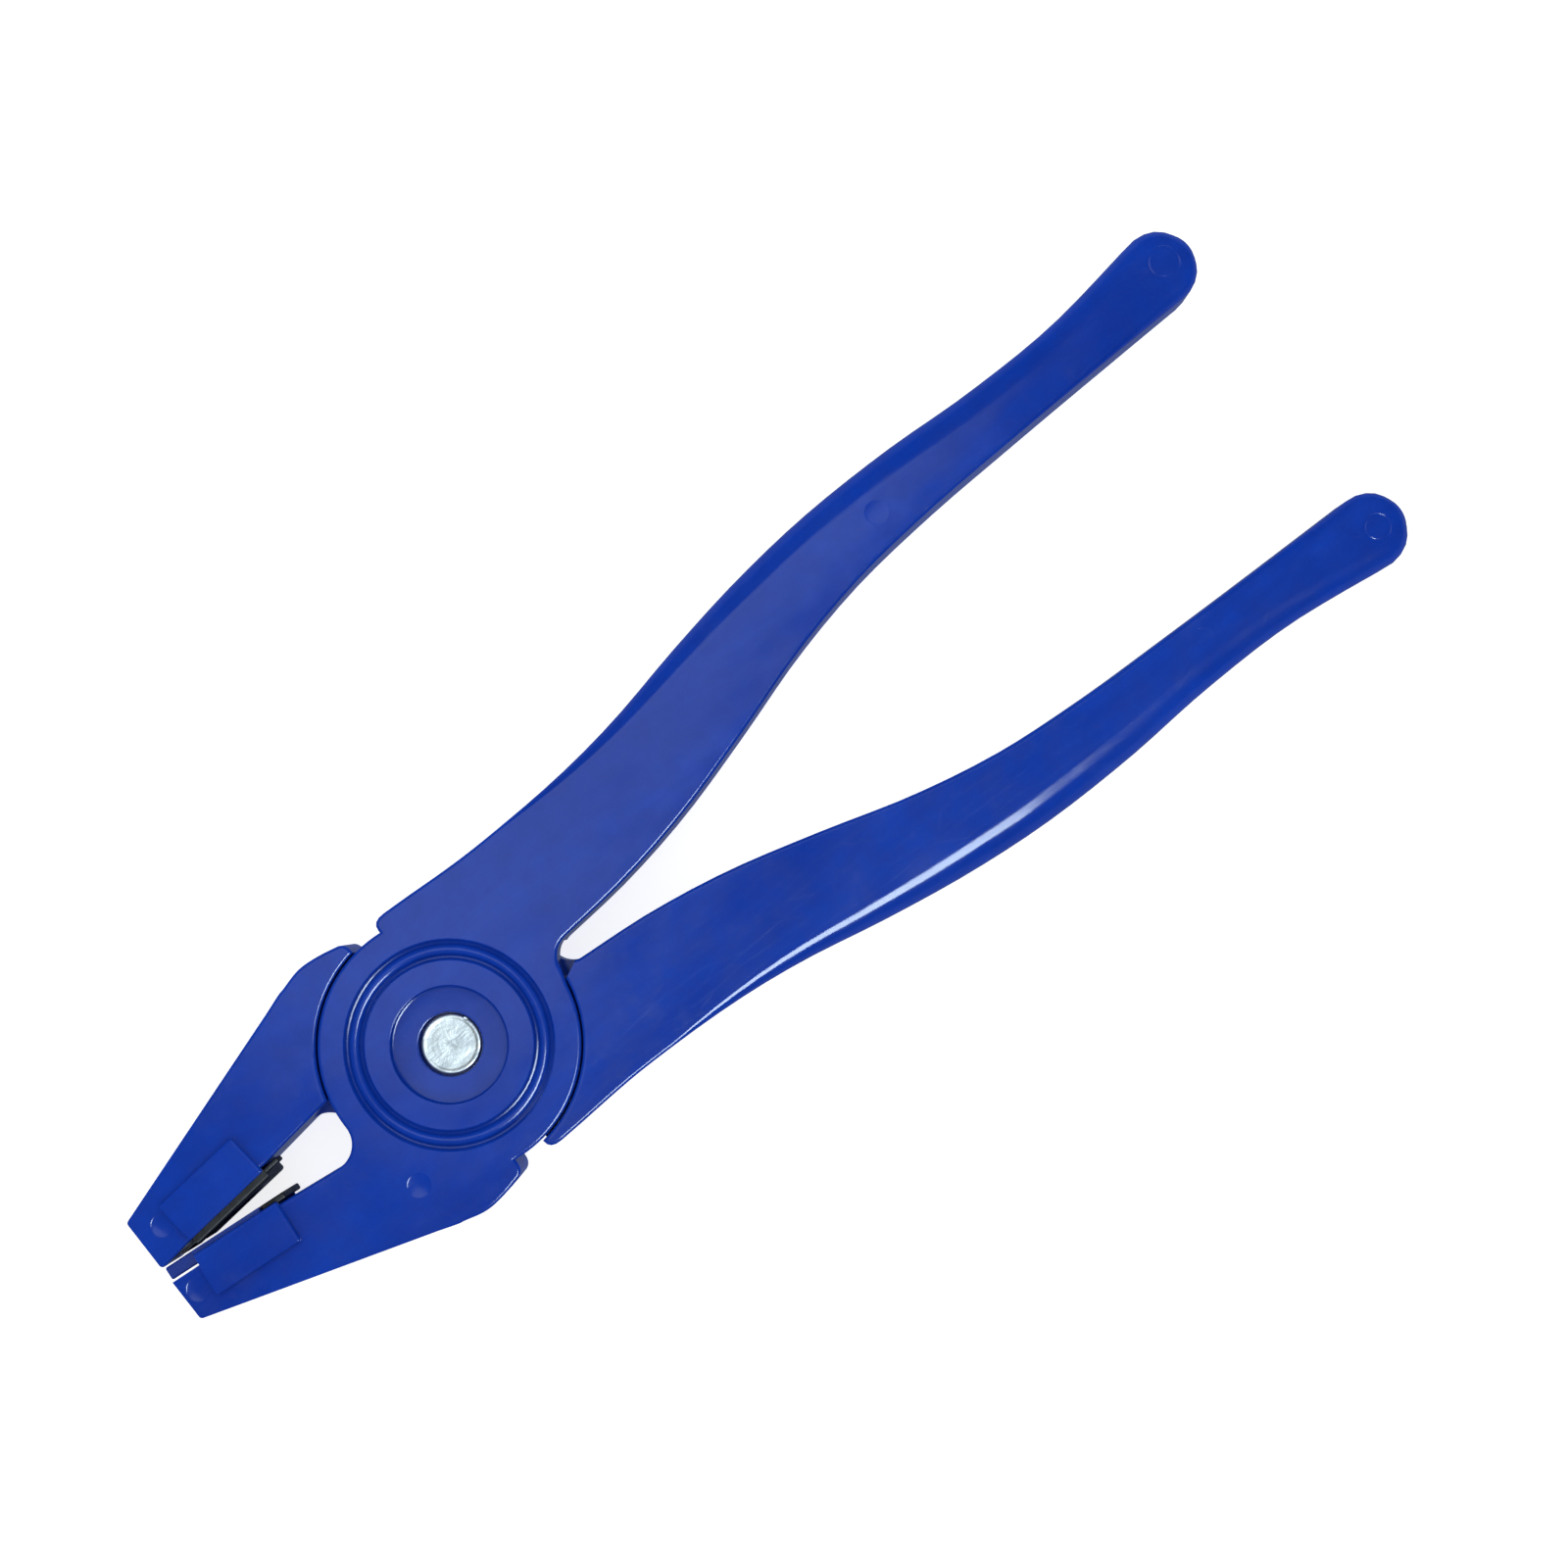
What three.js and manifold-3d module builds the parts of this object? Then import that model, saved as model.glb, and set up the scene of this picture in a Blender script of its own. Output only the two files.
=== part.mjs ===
// Snap setter pliers. Two like moulded plastic levers are half-lapped on a rivet: each has a long
// handle, a half-thickness pivot disc and a jaw. One jaw carries a rubber anvil pad, the other a
// plastic ring holder with a rubber keeper behind it.
//
// Millimetres. +X runs from the pivot towards the handle ends, +Z out of the rivet's head, and the
// pivot axis is Z. The origin is the centre of the rivet head's face. The levers are drawn about
// the middle of their thickness, and the whole is then lowered so that the head's face is at 0.

import * as THREE from 'three';
import { mergeVertices } from 'three/addons/utils/BufferGeometryUtils.js';
import Module from 'manifold-3d';

const wasm = await Module();
wasm.setup();

// Lever: thickness and pivot disc.
const leverThickness = 12;
const edgeChamfer = 0.5;
const discRadius = 19.4;
const discGap = 0.3;
const pocketClearance = 0.35;

// Handle: its round end, and its two edges between pivot and end. Each station is
// [share of the way to the end's centre, distance of the edge from the X axis]. The root stations
// are [distance along X, height over the disc's rim].
const handleLength = 154;
const handleSpread = 25.15;
const handleEndRadius = 5.85;
const handleInnerEdge = [
  [0.160, 2.1], [0.228, 3.05], [0.312, 5.4], [0.404, 9.3], [0.495, 13.55], [0.586, 16.5],
  [0.684, 17.95], [0.781, 18.55], [0.885, 19.0],
];
const handleOuterEdge = [
  [0.885, 28.6], [0.781, 28.45], [0.684, 29.3], [0.586, 29.25], [0.495, 27.95], [0.404, 25.6],
  [0.312, 22.65], [0.228, 21.05],
];
const handleRoot = [[20, 1.1], [7.7, 1.65], [4.3, 1.8]];
const handleThroatRadius = 3.7;
const handleThroatWeb = 0.4;
const webTurn = 0.13;
const outlineFlatness = 0.02;

// Opening stops: the shoulders that stand beside the disc. Heights are over the disc's rim.
const handleStopOffset = 2.1;
const handleStopHeight = 1.9;
const jawStopOffset = 2.8;
const jawStopHeight = 1.75;
const stopFoot = 0.25;

// Jaw: its length, straight edges, throat and the hump by the stop, in [distance along X, height
// over the disc's rim].
const jawLength = 53.2;
const jawTipInner = 0.4;
const jawTipOuter = 9.05;
const jawTipCorner = 0.4;
const jawInnerSlope = 0.127;
const jawThroatRadius = 4;
const jawReliefSkin = 0.02;
const jawHump = [[-18, 1.0], [-14, 2.25], [-10.6, 3.05], [-7.3, 2.85], [-3.9, 2.15]];

// Die block: raised on both faces of the jaw, with a tray and a pocket in its working face. It
// stands nearer the tip on the front lever than on the rear one.
const blockLength = 14.6;
const blockDepth = 6.75;
const blockHeight = 1;
const blockChamfer = 0.4;
const frontBlockInset = 4.85;
const rearBlockInset = 6;
const blockEdgeProud = 0.35;
const workingFaceAngle = 5.3;
const trayWidth = 12.2;
const trayDepth = 0.6;
const pocketLength = 8;
const pocketWidth = 8;
const pocketDepth = 2;

// Pivot face: ring bead between two grooves, recess and head counterbore.
const beadRadius = 14;
const beadGroovePitch = 0.95;
const grooveWidth = 0.8;
const grooveDepth = 0.9;
const grooveFloorWidth = 0.3;
const grooveWallDepth = 0.27;
const recessRadius = 8.7;
const recessDepth = 1.4;

// Rivet and washer.
const shankRadius = 2.9;
const runningClearance = 0.08;
const headLip = 1.5;
const headThickness = 1.4;
const headSink = 1;
const headClearance = 0.35;
const headEdge = 0.25;
const headSeatGap = 0.1;
const peenedLip = 0.8;
const peenedThickness = 1.1;
const peenedDome = 0.35;
const peenedEdge = 0.3;
const washerThickness = 0.7;
const washerSideGap = 0.5;
const washerEndGap = 0.1;
const washerHoleClearance = 0.15;

// What the jaws carry.
const fitGap = 0.3;
const padProud = 1.2;
const padDishRadius = 4.4;
const padDishDepth = 0.4;
const padLipLength = 2.3;
const padLipProud = 0.75;
const padTabLength = 2.6;
const padTabWidth = 3;
const padTabOffset = -4;
const padTabProud = 0.5;
const holderProud = 0.7;
const ringSeatDepth = 0.5;
const ringSeatWidth = 1.7;
const ringSeatWall = 0.5;
const ringPostSink = 0.1;
const tongueSetback = 0.1;
const tongueThickness = 2.05;
const tongueWidth = 10;
const tongueSeatInset = 0.3;
const keeperLength = 2.6;
const keeperOverhang = 1.4;

const half = leverThickness / 2;
const recessFloor = half - recessDepth;
const headFace = recessFloor - headSink;
const headUnderside = headFace - headThickness;
const headSeat = headUnderside - headSeatGap;
const discPocketRadius = discRadius + pocketClearance;
const headRadius = shankRadius + headLip;
const headSeatRadius = headRadius + headClearance;
const peenedRadius = shankRadius + peenedLip;
const washerRadius = headSeatRadius - washerSideGap;
const blockEnd = blockLength / 2;
const tongueLength = frontBlockInset - tongueSetback;
const tongueFloor = holderProud - tongueThickness;
const holderRear = blockEnd - keeperLength - fitGap;
const ringSeatRadius = holderRear - ringSeatWall;
const trayFloor = -trayDepth;

// ---------------------------------------------------------------- shapes and booleans

function toSolid(geometry) {
  geometry.deleteAttribute('normal');
  geometry.deleteAttribute('uv');
  const merged = mergeVertices(geometry, 1e-4);
  return new wasm.Manifold(new wasm.Mesh({
    numProp: 3,
    vertProperties: new Float32Array(merged.attributes.position.array),
    triVerts: new Uint32Array(merged.index.array),
  }));
}

function toGeometry(solid) {
  const mesh = solid.getMesh();
  const geometry = new THREE.BufferGeometry();
  geometry.setAttribute('position', new THREE.BufferAttribute(new Float32Array(mesh.vertProperties), 3));
  geometry.setIndex(new THREE.BufferAttribute(new Uint32Array(mesh.triVerts), 1));
  geometry.computeVertexNormals();
  return geometry;
}

// The outline's points, without those that stand less than outlineFlatness off their neighbours' line.
function leanOutline(shape) {
  const points = shape.getPoints(6);
  const kept = [points[0]];
  for (let i = 1; i < points.length; i += 1) {
    const chord = points[(i + 1) % points.length].clone().sub(kept.at(-1));
    const step = points[i].clone().sub(kept.at(-1));
    if (Math.abs(chord.cross(step)) > outlineFlatness * chord.length()) kept.push(points[i]);
  }
  return new THREE.Shape(kept);
}

// A flat outline pulled up along Z from low to high, its rims cut back by chamfer.
function prism(shape, low, high, chamfer = 0) {
  const geometry = new THREE.ExtrudeGeometry(leanOutline(shape), {
    depth: high - low - 2 * chamfer,
    bevelEnabled: chamfer > 0,
    bevelThickness: chamfer,
    bevelSize: chamfer,
    bevelOffset: -chamfer,
    bevelSegments: 1,
  });
  geometry.translate(0, 0, low + chamfer);
  return geometry;
}

// A profile of [radius, height] points turned about Z.
function turned(profile, segments = 48) {
  const points = profile.map(([radius, height]) => new THREE.Vector2(radius, height));
  const geometry = new THREE.LatheGeometry(points, segments);
  geometry.rotateX(Math.PI / 2);
  return geometry;
}

function cylinder(radius, low, high, segments = 48) {
  return turned([[0, low], [radius, low], [radius, high], [0, high]], segments);
}

function rectangle(left, bottom, right, top) {
  const corners = [[left, bottom], [right, bottom], [right, top], [left, top]];
  return new THREE.Shape(corners.map(([x, y]) => new THREE.Vector2(x, y)));
}

// ---------------------------------------------------------------- working face

// A group whose x runs along the jaw's working face from tip to root, and whose y points out of
// the face into the gap. Its origin is the middle of the edge of a die block whose end stands
// blockInset from the jaw's tip.
function workingFace(blockInset, ...carried) {
  const fromTip = blockInset + blockEnd;
  const edge = jawTipInner + jawInnerSlope * fromTip - blockEdgeProud;
  const face = new THREE.Group();
  face.position.set(fromTip - jawLength, -edge, 0);
  face.rotation.z = THREE.MathUtils.degToRad(-workingFaceAngle);
  face.updateMatrix();
  if (carried.length > 0) face.add(...carried);
  return face;
}

function onWorkingFace(geometry, blockInset) {
  return geometry.applyMatrix4(workingFace(blockInset).matrix);
}

// A cylinder that stands on the working face, its axis along y.
function faceCylinder(radius, low, high) {
  return cylinder(radius, low, high, 32).rotateX(-Math.PI / 2);
}

// ---------------------------------------------------------------- lever

// Centre of a fillet between the disc and the line y = slope x + rise, on the line's lower side.
// The fillet stands off the disc by the web.
function throatCentre(radius, web, slope, rise, side) {
  const reach = discRadius + web + radius;
  const drop = rise - radius * Math.hypot(1, slope);
  const a = 1 + slope * slope;
  const b = slope * drop;
  const x = (-b + side * Math.sqrt(b * b - a * (drop * drop - reach * reach))) / a;
  return { x, y: slope * x + drop };
}

// The lever seen from its disc's side: handle towards +X and +Y, jaw towards -X and -Y.
function leverOutline() {
  const place = ([share, y]) => new THREE.Vector2(share * handleLength, y);
  const inner = handleInnerEdge.map(place);
  const overDisc = ([x, height]) => new THREE.Vector2(x, discRadius + height);
  const outer = [...handleOuterEdge.map(place), ...handleRoot.map(overDisc)];
  const innerEndTurn = -1.54;
  const outerEndTurn = 1.74;
  const innerEnd = new THREE.Vector2(
    handleLength + handleEndRadius * Math.cos(innerEndTurn),
    handleSpread + handleEndRadius * Math.sin(innerEndTurn),
  );
  const slope = (inner[1].y - inner[0].y) / (inner[1].x - inner[0].x);
  const throatRise = inner[0].y - slope * inner[0].x;
  const throat = throatCentre(handleThroatRadius, handleThroatWeb, slope, throatRise, 1);
  const throatTurn = Math.atan2(throat.y, throat.x);
  const jawRise = jawTipInner + jawInnerSlope * jawLength;
  const jawThroat = throatCentre(jawThroatRadius, 0, jawInnerSlope, jawRise, -1);
  const jawThroatTurn = Math.atan2(-jawThroat.y, jawThroat.x);
  const handleStopTurn = Math.acos(handleStopOffset / discRadius);
  const jawStopTurn = Math.acos(jawStopOffset / discRadius);
  const hump = jawHump.map(([x, height]) => new THREE.Vector2(x, -discRadius - height));

  const shape = new THREE.Shape();
  shape.absarc(throat.x, throat.y, handleThroatRadius, throatTurn + Math.PI,
    Math.PI / 2 + Math.atan(slope), true);
  shape.splineThru([...inner.slice(1), innerEnd]);
  shape.absarc(handleLength, handleSpread, handleEndRadius, innerEndTurn, outerEndTurn, false);
  shape.splineThru(outer);
  shape.quadraticCurveTo(handleStopOffset, discRadius + handleStopHeight,
    handleStopOffset, discRadius + stopFoot);
  shape.absarc(0, 0, discRadius, handleStopTurn, jawThroatTurn + 2 * Math.PI, false);
  shape.absarc(jawThroat.x, -jawThroat.y, jawThroatRadius, jawThroatTurn + Math.PI,
    -Math.PI / 2 - Math.atan(jawInnerSlope), true);
  shape.lineTo(-jawLength, -jawTipInner);
  shape.lineTo(-jawLength, jawTipCorner - jawTipOuter);
  shape.lineTo(jawTipCorner - jawLength, -jawTipOuter);
  shape.lineTo(hump[0].x, hump[0].y);
  shape.splineThru(hump.slice(1));
  shape.quadraticCurveTo(-jawStopOffset, -discRadius - jawStopHeight,
    -jawStopOffset, -discRadius - stopFoot);
  shape.absarc(0, 0, discRadius, jawStopTurn - Math.PI, throatTurn - webTurn, false);
  return shape;
}

// Corner taken off the handle's root on the side where the other lever's disc turns.
function throatRelief() {
  const corners = [[-2.4, -3], [6.1, -3], [6.1, 0.2], [-2.4, 4.2]];
  const shape = new THREE.Shape(corners.map(([x, y]) => new THREE.Vector2(discRadius + x, y)));
  return prism(shape, -half - 1, discGap / 2);
}

// Fillet taken off the jaw's root on that same side, down to the jaw's straight inner edge.
function jawRelief() {
  const edge = (x) => jawReliefSkin - jawTipInner - jawInnerSlope * (x + jawLength);
  const corners = [[-28, 3], [-28, edge(-28)], [-16, edge(-16)], [-16, 3]];
  const shape = new THREE.Shape(corners.map(([x, y]) => new THREE.Vector2(x, y)));
  return prism(shape, -half - 1, discGap / 2);
}

function dieBlock(blockInset) {
  const outline = rectangle(-blockEnd, -blockDepth, blockEnd, 0);
  const block = prism(outline, -half - blockHeight, half + blockHeight, blockChamfer);
  return onWorkingFace(block, blockInset);
}

function tray(blockInset) {
  const outline = rectangle(-blockEnd, trayFloor, blockEnd + 4, 4);
  return onWorkingFace(prism(outline, -trayWidth / 2, trayWidth / 2), blockInset);
}

function stemPocket(blockInset) {
  const outline = rectangle(-pocketLength / 2, trayFloor - pocketDepth, pocketLength / 2, 1);
  return onWorkingFace(prism(outline, -pocketWidth / 2, pocketWidth / 2), blockInset);
}

// Notch in the tip of the jaw that the ring holder's tongue lies in.
function tongueSeat() {
  const floor = tongueFloor - fitGap;
  const outline = rectangle(-blockEnd - tongueLength - 4, floor, tongueSeatInset - blockEnd, 4);
  return onWorkingFace(prism(outline, -half - 2, half + 2), frontBlockInset);
}

// Two ring grooves that leave a rounded bead standing between them.
function beadGroove(side) {
  const centre = beadRadius + side * beadGroovePitch;
  const inner = centre - grooveWidth / 2;
  const outer = centre + grooveWidth / 2;
  const floor = half - grooveDepth;
  const wall = half - grooveWallDepth;
  return turned([
    [inner, half + 1], [inner, wall], [centre - grooveFloorWidth / 2, floor],
    [centre + grooveFloorWidth / 2, floor], [outer, wall], [outer, half + 1], [inner, half + 1],
  ]);
}

function leverSolid(blockInset, extraCuts) {
  const cuts = [
    cylinder(discPocketRadius, -half - 1, discGap / 2, 72),
    throatRelief(),
    jawRelief(),
    tray(blockInset),
    stemPocket(blockInset),
    beadGroove(-1),
    beadGroove(1),
    cylinder(recessRadius, recessFloor, half + 1),
    cylinder(headSeatRadius, headSeat, half + 1),
    cylinder(shankRadius + runningClearance, -half - 1, half + 1),
    ...extraCuts,
  ];
  const blank = toSolid(prism(leverOutline(), -half, half, edgeChamfer));
  const body = blank.add(toSolid(dieBlock(blockInset)));
  return cuts.reduce((solid, tool) => solid.subtract(toSolid(tool)), body);
}

// ---------------------------------------------------------------- carried parts, on the face's axes

function faceBlock(left, right, low, high, width) {
  return toSolid(prism(rectangle(left, low, right, high), -width / 2, width / 2));
}

function stem() {
  const end = pocketLength / 2 - fitGap;
  return faceBlock(-end, end, trayFloor - pocketDepth + fitGap, 0, pocketWidth - 2 * fitGap);
}

function anvilPadSolid() {
  const width = trayWidth - 2 * fitGap;
  const flange = faceBlock(fitGap - blockEnd, blockEnd, trayFloor + fitGap, padProud, width);
  const lip = faceBlock(-blockEnd - padLipLength, 1 - blockEnd, fitGap, padLipProud, width);
  const tab = toSolid(prism(
    rectangle(blockEnd - 1, trayFloor + fitGap, blockEnd + padTabLength, padTabProud),
    padTabOffset - padTabWidth / 2,
    padTabOffset + padTabWidth / 2,
  ));
  const dish = toSolid(faceCylinder(padDishRadius, padProud - padDishDepth, padProud + 2));
  return flange.add(stem()).add(lip).add(tab).subtract(dish);
}

function ringHolderSolid() {
  const width = trayWidth - 2 * fitGap;
  const flange = faceBlock(-blockEnd, holderRear, trayFloor + fitGap, holderProud, width);
  const tongueTip = -blockEnd - tongueLength;
  const tongueRoot = tongueSeatInset - fitGap - blockEnd;
  const tongue = faceBlock(tongueTip, tongueRoot, tongueFloor, holderProud, tongueWidth);
  const seat = toSolid(faceCylinder(ringSeatRadius, holderProud - ringSeatDepth, holderProud + 2));
  const postRadius = ringSeatRadius - ringSeatWidth;
  const post = toSolid(faceCylinder(postRadius, trayFloor, holderProud - ringPostSink));
  return flange.add(stem()).add(tongue).subtract(seat).add(post);
}

function rubberKeeperSolid() {
  const width = trayWidth - 2 * fitGap;
  return faceBlock(
    blockEnd - keeperLength, blockEnd + keeperOverhang, trayFloor + fitGap, holderProud, width,
  );
}

// ---------------------------------------------------------------- rivet

// Factory head above, shank through both discs, peened dome below.
function rivetSolid() {
  const peenedTop = -headSeat - washerThickness - 2 * washerEndGap;
  const peenedFace = peenedTop - peenedThickness;
  return toSolid(turned([
    [0, peenedFace - peenedDome], [0.6 * peenedRadius, peenedFace - 0.6 * peenedDome],
    [peenedRadius, peenedFace + peenedEdge], [peenedRadius, peenedTop], [shankRadius, peenedTop],
    [shankRadius, headUnderside], [headRadius, headUnderside], [headRadius, headFace - headEdge],
    [headRadius - headEdge, headFace], [0, headFace],
  ]));
}

function washerSolid() {
  const top = -headSeat - washerEndGap;
  const hole = shankRadius + washerHoleClearance;
  const bottom = top - washerThickness;
  return toSolid(turned([
    [hole, bottom], [washerRadius, bottom], [washerRadius, top], [hole, top], [hole, bottom],
  ]));
}

// ---------------------------------------------------------------- materials

const bluePlastic = () => new THREE.MeshStandardMaterial({ color: 0x1c3f9e, roughness: 0.35 });
const blackRubber = () => new THREE.MeshStandardMaterial({ color: 0x101218, roughness: 0.7 });
const rivetMetal = () => new THREE.MeshStandardMaterial({ color: 0xd4dbde, roughness: 0.4, metalness: 1 });
const zincSteel = () => new THREE.MeshStandardMaterial({ color: 0xb4b8bc, roughness: 0.4, metalness: 1 });

function part(name, solid, material) {
  const mesh = new THREE.Mesh(toGeometry(solid), material);
  mesh.name = name;
  return mesh;
}

// ---------------------------------------------------------------- assembly

const rearLever = new THREE.Group();
rearLever.rotation.x = Math.PI;
rearLever.add(
  part('rear_lever', leverSolid(rearBlockInset, []), bluePlastic()),
  workingFace(rearBlockInset, part('anvil_pad', anvilPadSolid(), blackRubber())),
);

const frontLever = new THREE.Group();
frontLever.add(
  part('front_lever', leverSolid(frontBlockInset, [tongueSeat()]), bluePlastic()),
  workingFace(
    frontBlockInset,
    part('ring_holder', ringHolderSolid(), bluePlastic()),
    part('rubber_keeper', rubberKeeperSolid(), blackRubber()),
  ),
);

const pliers = new THREE.Group();
pliers.add(
  rearLever,
  frontLever,
  part('pivot_rivet', rivetSolid(), rivetMetal()),
  part('pivot_washer', washerSolid(), zincSteel()),
);
pliers.position.z = -headFace;

export default pliers;
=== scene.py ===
import math

import bmesh
import bpy
from mathutils import Matrix, Vector


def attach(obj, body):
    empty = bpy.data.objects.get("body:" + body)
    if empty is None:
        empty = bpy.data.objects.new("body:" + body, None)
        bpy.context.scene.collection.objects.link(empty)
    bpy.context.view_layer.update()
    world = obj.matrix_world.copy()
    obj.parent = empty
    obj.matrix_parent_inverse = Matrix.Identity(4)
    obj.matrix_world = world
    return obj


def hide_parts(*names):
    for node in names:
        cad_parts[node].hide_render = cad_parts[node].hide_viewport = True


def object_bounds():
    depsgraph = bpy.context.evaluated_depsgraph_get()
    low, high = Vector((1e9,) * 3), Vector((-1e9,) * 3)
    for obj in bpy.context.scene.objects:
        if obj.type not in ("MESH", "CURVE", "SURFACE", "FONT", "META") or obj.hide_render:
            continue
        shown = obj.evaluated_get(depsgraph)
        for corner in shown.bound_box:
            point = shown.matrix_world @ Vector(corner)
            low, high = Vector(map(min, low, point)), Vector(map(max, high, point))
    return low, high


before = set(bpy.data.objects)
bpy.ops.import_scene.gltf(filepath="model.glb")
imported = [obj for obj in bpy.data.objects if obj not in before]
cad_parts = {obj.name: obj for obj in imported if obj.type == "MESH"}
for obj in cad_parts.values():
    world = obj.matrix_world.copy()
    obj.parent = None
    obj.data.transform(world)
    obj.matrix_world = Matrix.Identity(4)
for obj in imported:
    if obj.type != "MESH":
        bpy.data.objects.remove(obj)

cad_low, cad_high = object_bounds()

# ------------------------------------------------------------------ Setting
# The pliers lie flat on a plain pale floor and are seen from nearly straight above. One wide soft
# card hangs overhead and lays a pale sheen over the flats; a narrow strip of light at the side
# draws a bright line along the rounded palm edges.

lens = 58.5
sensor_width = 36.0
camera_place = (0.05335, -0.01179, 0.3774)
camera_turn = (0.03841, 0.0, -0.67021)
floor_middle = 0.05
floor_drop = 0.00005
glow_drop = 0.002

bpy.ops.object.camera_add(location=camera_place, rotation=camera_turn)
camera = bpy.context.object
camera.data.lens = lens
camera.data.sensor_width = sensor_width
camera.data.clip_start = 0.01
camera.data.clip_end = 20.0
bpy.context.scene.camera = camera
bpy.context.scene.view_settings.view_transform = "Standard"

floor_white = bpy.data.materials.new("floor_white")
floor_white.use_nodes = True
floor_shader = floor_white.node_tree.nodes["Principled BSDF"]
floor_shader.inputs["Base Color"].default_value = (0.5, 0.5, 0.5, 1.0)
floor_shader.inputs["Roughness"].default_value = 0.9
floor_shader.inputs["Specular IOR Level"].default_value = 0.1
floor_shader.inputs["Emission Color"].default_value = (1.0, 1.0, 1.0, 1.0)
floor_shader.inputs["Emission Strength"].default_value = 0.8
bpy.ops.mesh.primitive_plane_add(size=8.0, location=(floor_middle, 0.0, cad_low.z - floor_drop))
floor = bpy.context.object
floor.name = "floor"
floor.data.materials.append(floor_white)
floor.visible_glossy = False

# Glossy rays pass through the floor and meet this dim cool plane, so steep walls only gleam faintly.
gleam = bpy.data.materials.new("gleam")
gleam.use_nodes = True
gleam_shader = gleam.node_tree.nodes["Principled BSDF"]
gleam_shader.inputs["Base Color"].default_value = (0.0, 0.0, 0.0, 1.0)
gleam_shader.inputs["Emission Color"].default_value = (0.55, 0.66, 1.0, 1.0)
gleam_shader.inputs["Emission Strength"].default_value = 0.22
bpy.ops.mesh.primitive_plane_add(size=4.0, location=(floor_middle, 0.0, cad_low.z - glow_drop))
under_glow = bpy.context.object
under_glow.name = "under_glow"
under_glow.data.materials.append(gleam)
under_glow.visible_camera = False
under_glow.visible_diffuse = False
under_glow.visible_shadow = False

room = bpy.data.worlds.new("room")
bpy.context.scene.world = room
room.use_nodes = True
room.node_tree.nodes["Background"].inputs["Color"].default_value = (1.0, 1.0, 1.0, 1.0)
room.node_tree.nodes["Background"].inputs["Strength"].default_value = 0.92
room.cycles_visibility.glossy = False


def soft_light(name, place, aim, size, watts, colour):
    """A rectangular soft light at a place, turned to face the aim point."""
    bpy.ops.object.light_add(type="AREA", location=place)
    lamp = bpy.context.object
    lamp.name = name
    lamp.data.shape = "RECTANGLE"
    lamp.data.size, lamp.data.size_y = size
    lamp.data.energy = watts
    lamp.data.color = colour
    lamp.rotation_euler = (Vector(aim) - Vector(place)).to_track_quat("-Z", "Y").to_euler()
    return lamp


sheen_card = soft_light("sheen_card", place=(0.020, 0.178, 0.60), aim=(0.020, 0.178, 0.0),
                        size=(0.37, 0.30), watts=0.36, colour=(0.88, 1.0, 0.96))
sheen_card.rotation_euler = (0.0, 0.0, math.radians(18.0))
side_strip = soft_light("side_strip", place=(0.032, -0.30, 0.55), aim=(0.045, -0.01, 0.0),
                        size=(0.20, 0.34), watts=4.0, colour=(0.78, 0.93, 1.0))
side_strip.visible_diffuse = False


# ------------------------------------------------------------------ The two levers
# Each lever is one glossy blue plastic moulding: a long handle with a broadly rounded palm edge, a
# half-thickness pivot disc with a ring bead, and a jaw that ends in a raised die block. The rear one
# is a like moulding turned over. Sizes are in millimetres, about the middle of the thickness.

half = 6.0
clear = 1.0
touch = 1e-4
disc_radius = 19.4
disc_gap = 0.3
disc_pocket_radius = 19.66
handle_length = 154.0
handle_spread = 25.15
end_radius = 5.8
end_turns_inner, end_turns_outer = -1.54, 1.74
inner_stations = [
    (35.1, 3.05), (48.05, 5.4), (62.2, 9.3), (76.2, 13.55), (90.25, 16.5),
    (105.35, 17.95), (120.3, 18.55), (136.3, 19.0),
]
outer_stations = [
    (136.3, 28.6), (120.3, 28.45), (105.35, 29.3), (90.25, 29.25), (76.2, 27.95), (62.2, 25.6),
    (48.05, 22.65), (35.1, 21.05), (20.0, 20.5), (7.7, 21.05), (4.3, 21.2),
]
throat_line = ((24.64, 2.1), inner_stations[0])
handle_throat_radius = 3.7
throat_web = 0.4
web_turn = 0.13
root_cut = 26.0
handle_stop = (2.1, 21.3, 19.65)
jaw_stop = (-2.8, -21.15, -19.65)
jaw_length = 53.2
jaw_tip_inner = 0.4
jaw_tip_outer = 9.05
jaw_slope = 0.127
jaw_throat_radius = 4.0
jaw_guide = (-40.0, -12.25)
jaw_hump = [(-18.0, -20.4), (-14.0, -21.65), (-10.6, -22.45), (-7.3, -22.25), (-3.9, -21.55)]
tip_corner = 0.6
rim_rounding = 0.5
rim_steps = 6


def hold(piece):
    """Selects this piece alone and makes it the active one."""
    if bpy.context.mode != "OBJECT":
        bpy.ops.object.mode_set(mode="OBJECT")
    bpy.ops.object.select_all(action="DESELECT")
    piece.select_set(True)
    bpy.context.view_layer.objects.active = piece
    return piece


def mark(piece, kind, wanted):
    """In edit mode, selects the vertices, edges or faces that pass the test, and nothing else."""
    bpy.ops.mesh.select_mode(type=kind)
    bpy.ops.mesh.select_all(action="DESELECT")
    mesh = bmesh.from_edit_mesh(piece.data)
    for element in {"VERT": mesh.verts, "EDGE": mesh.edges, "FACE": mesh.faces}[kind]:
        if wanted(element):
            element.select_set(True)
    bmesh.update_edit_mesh(piece.data)


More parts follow.
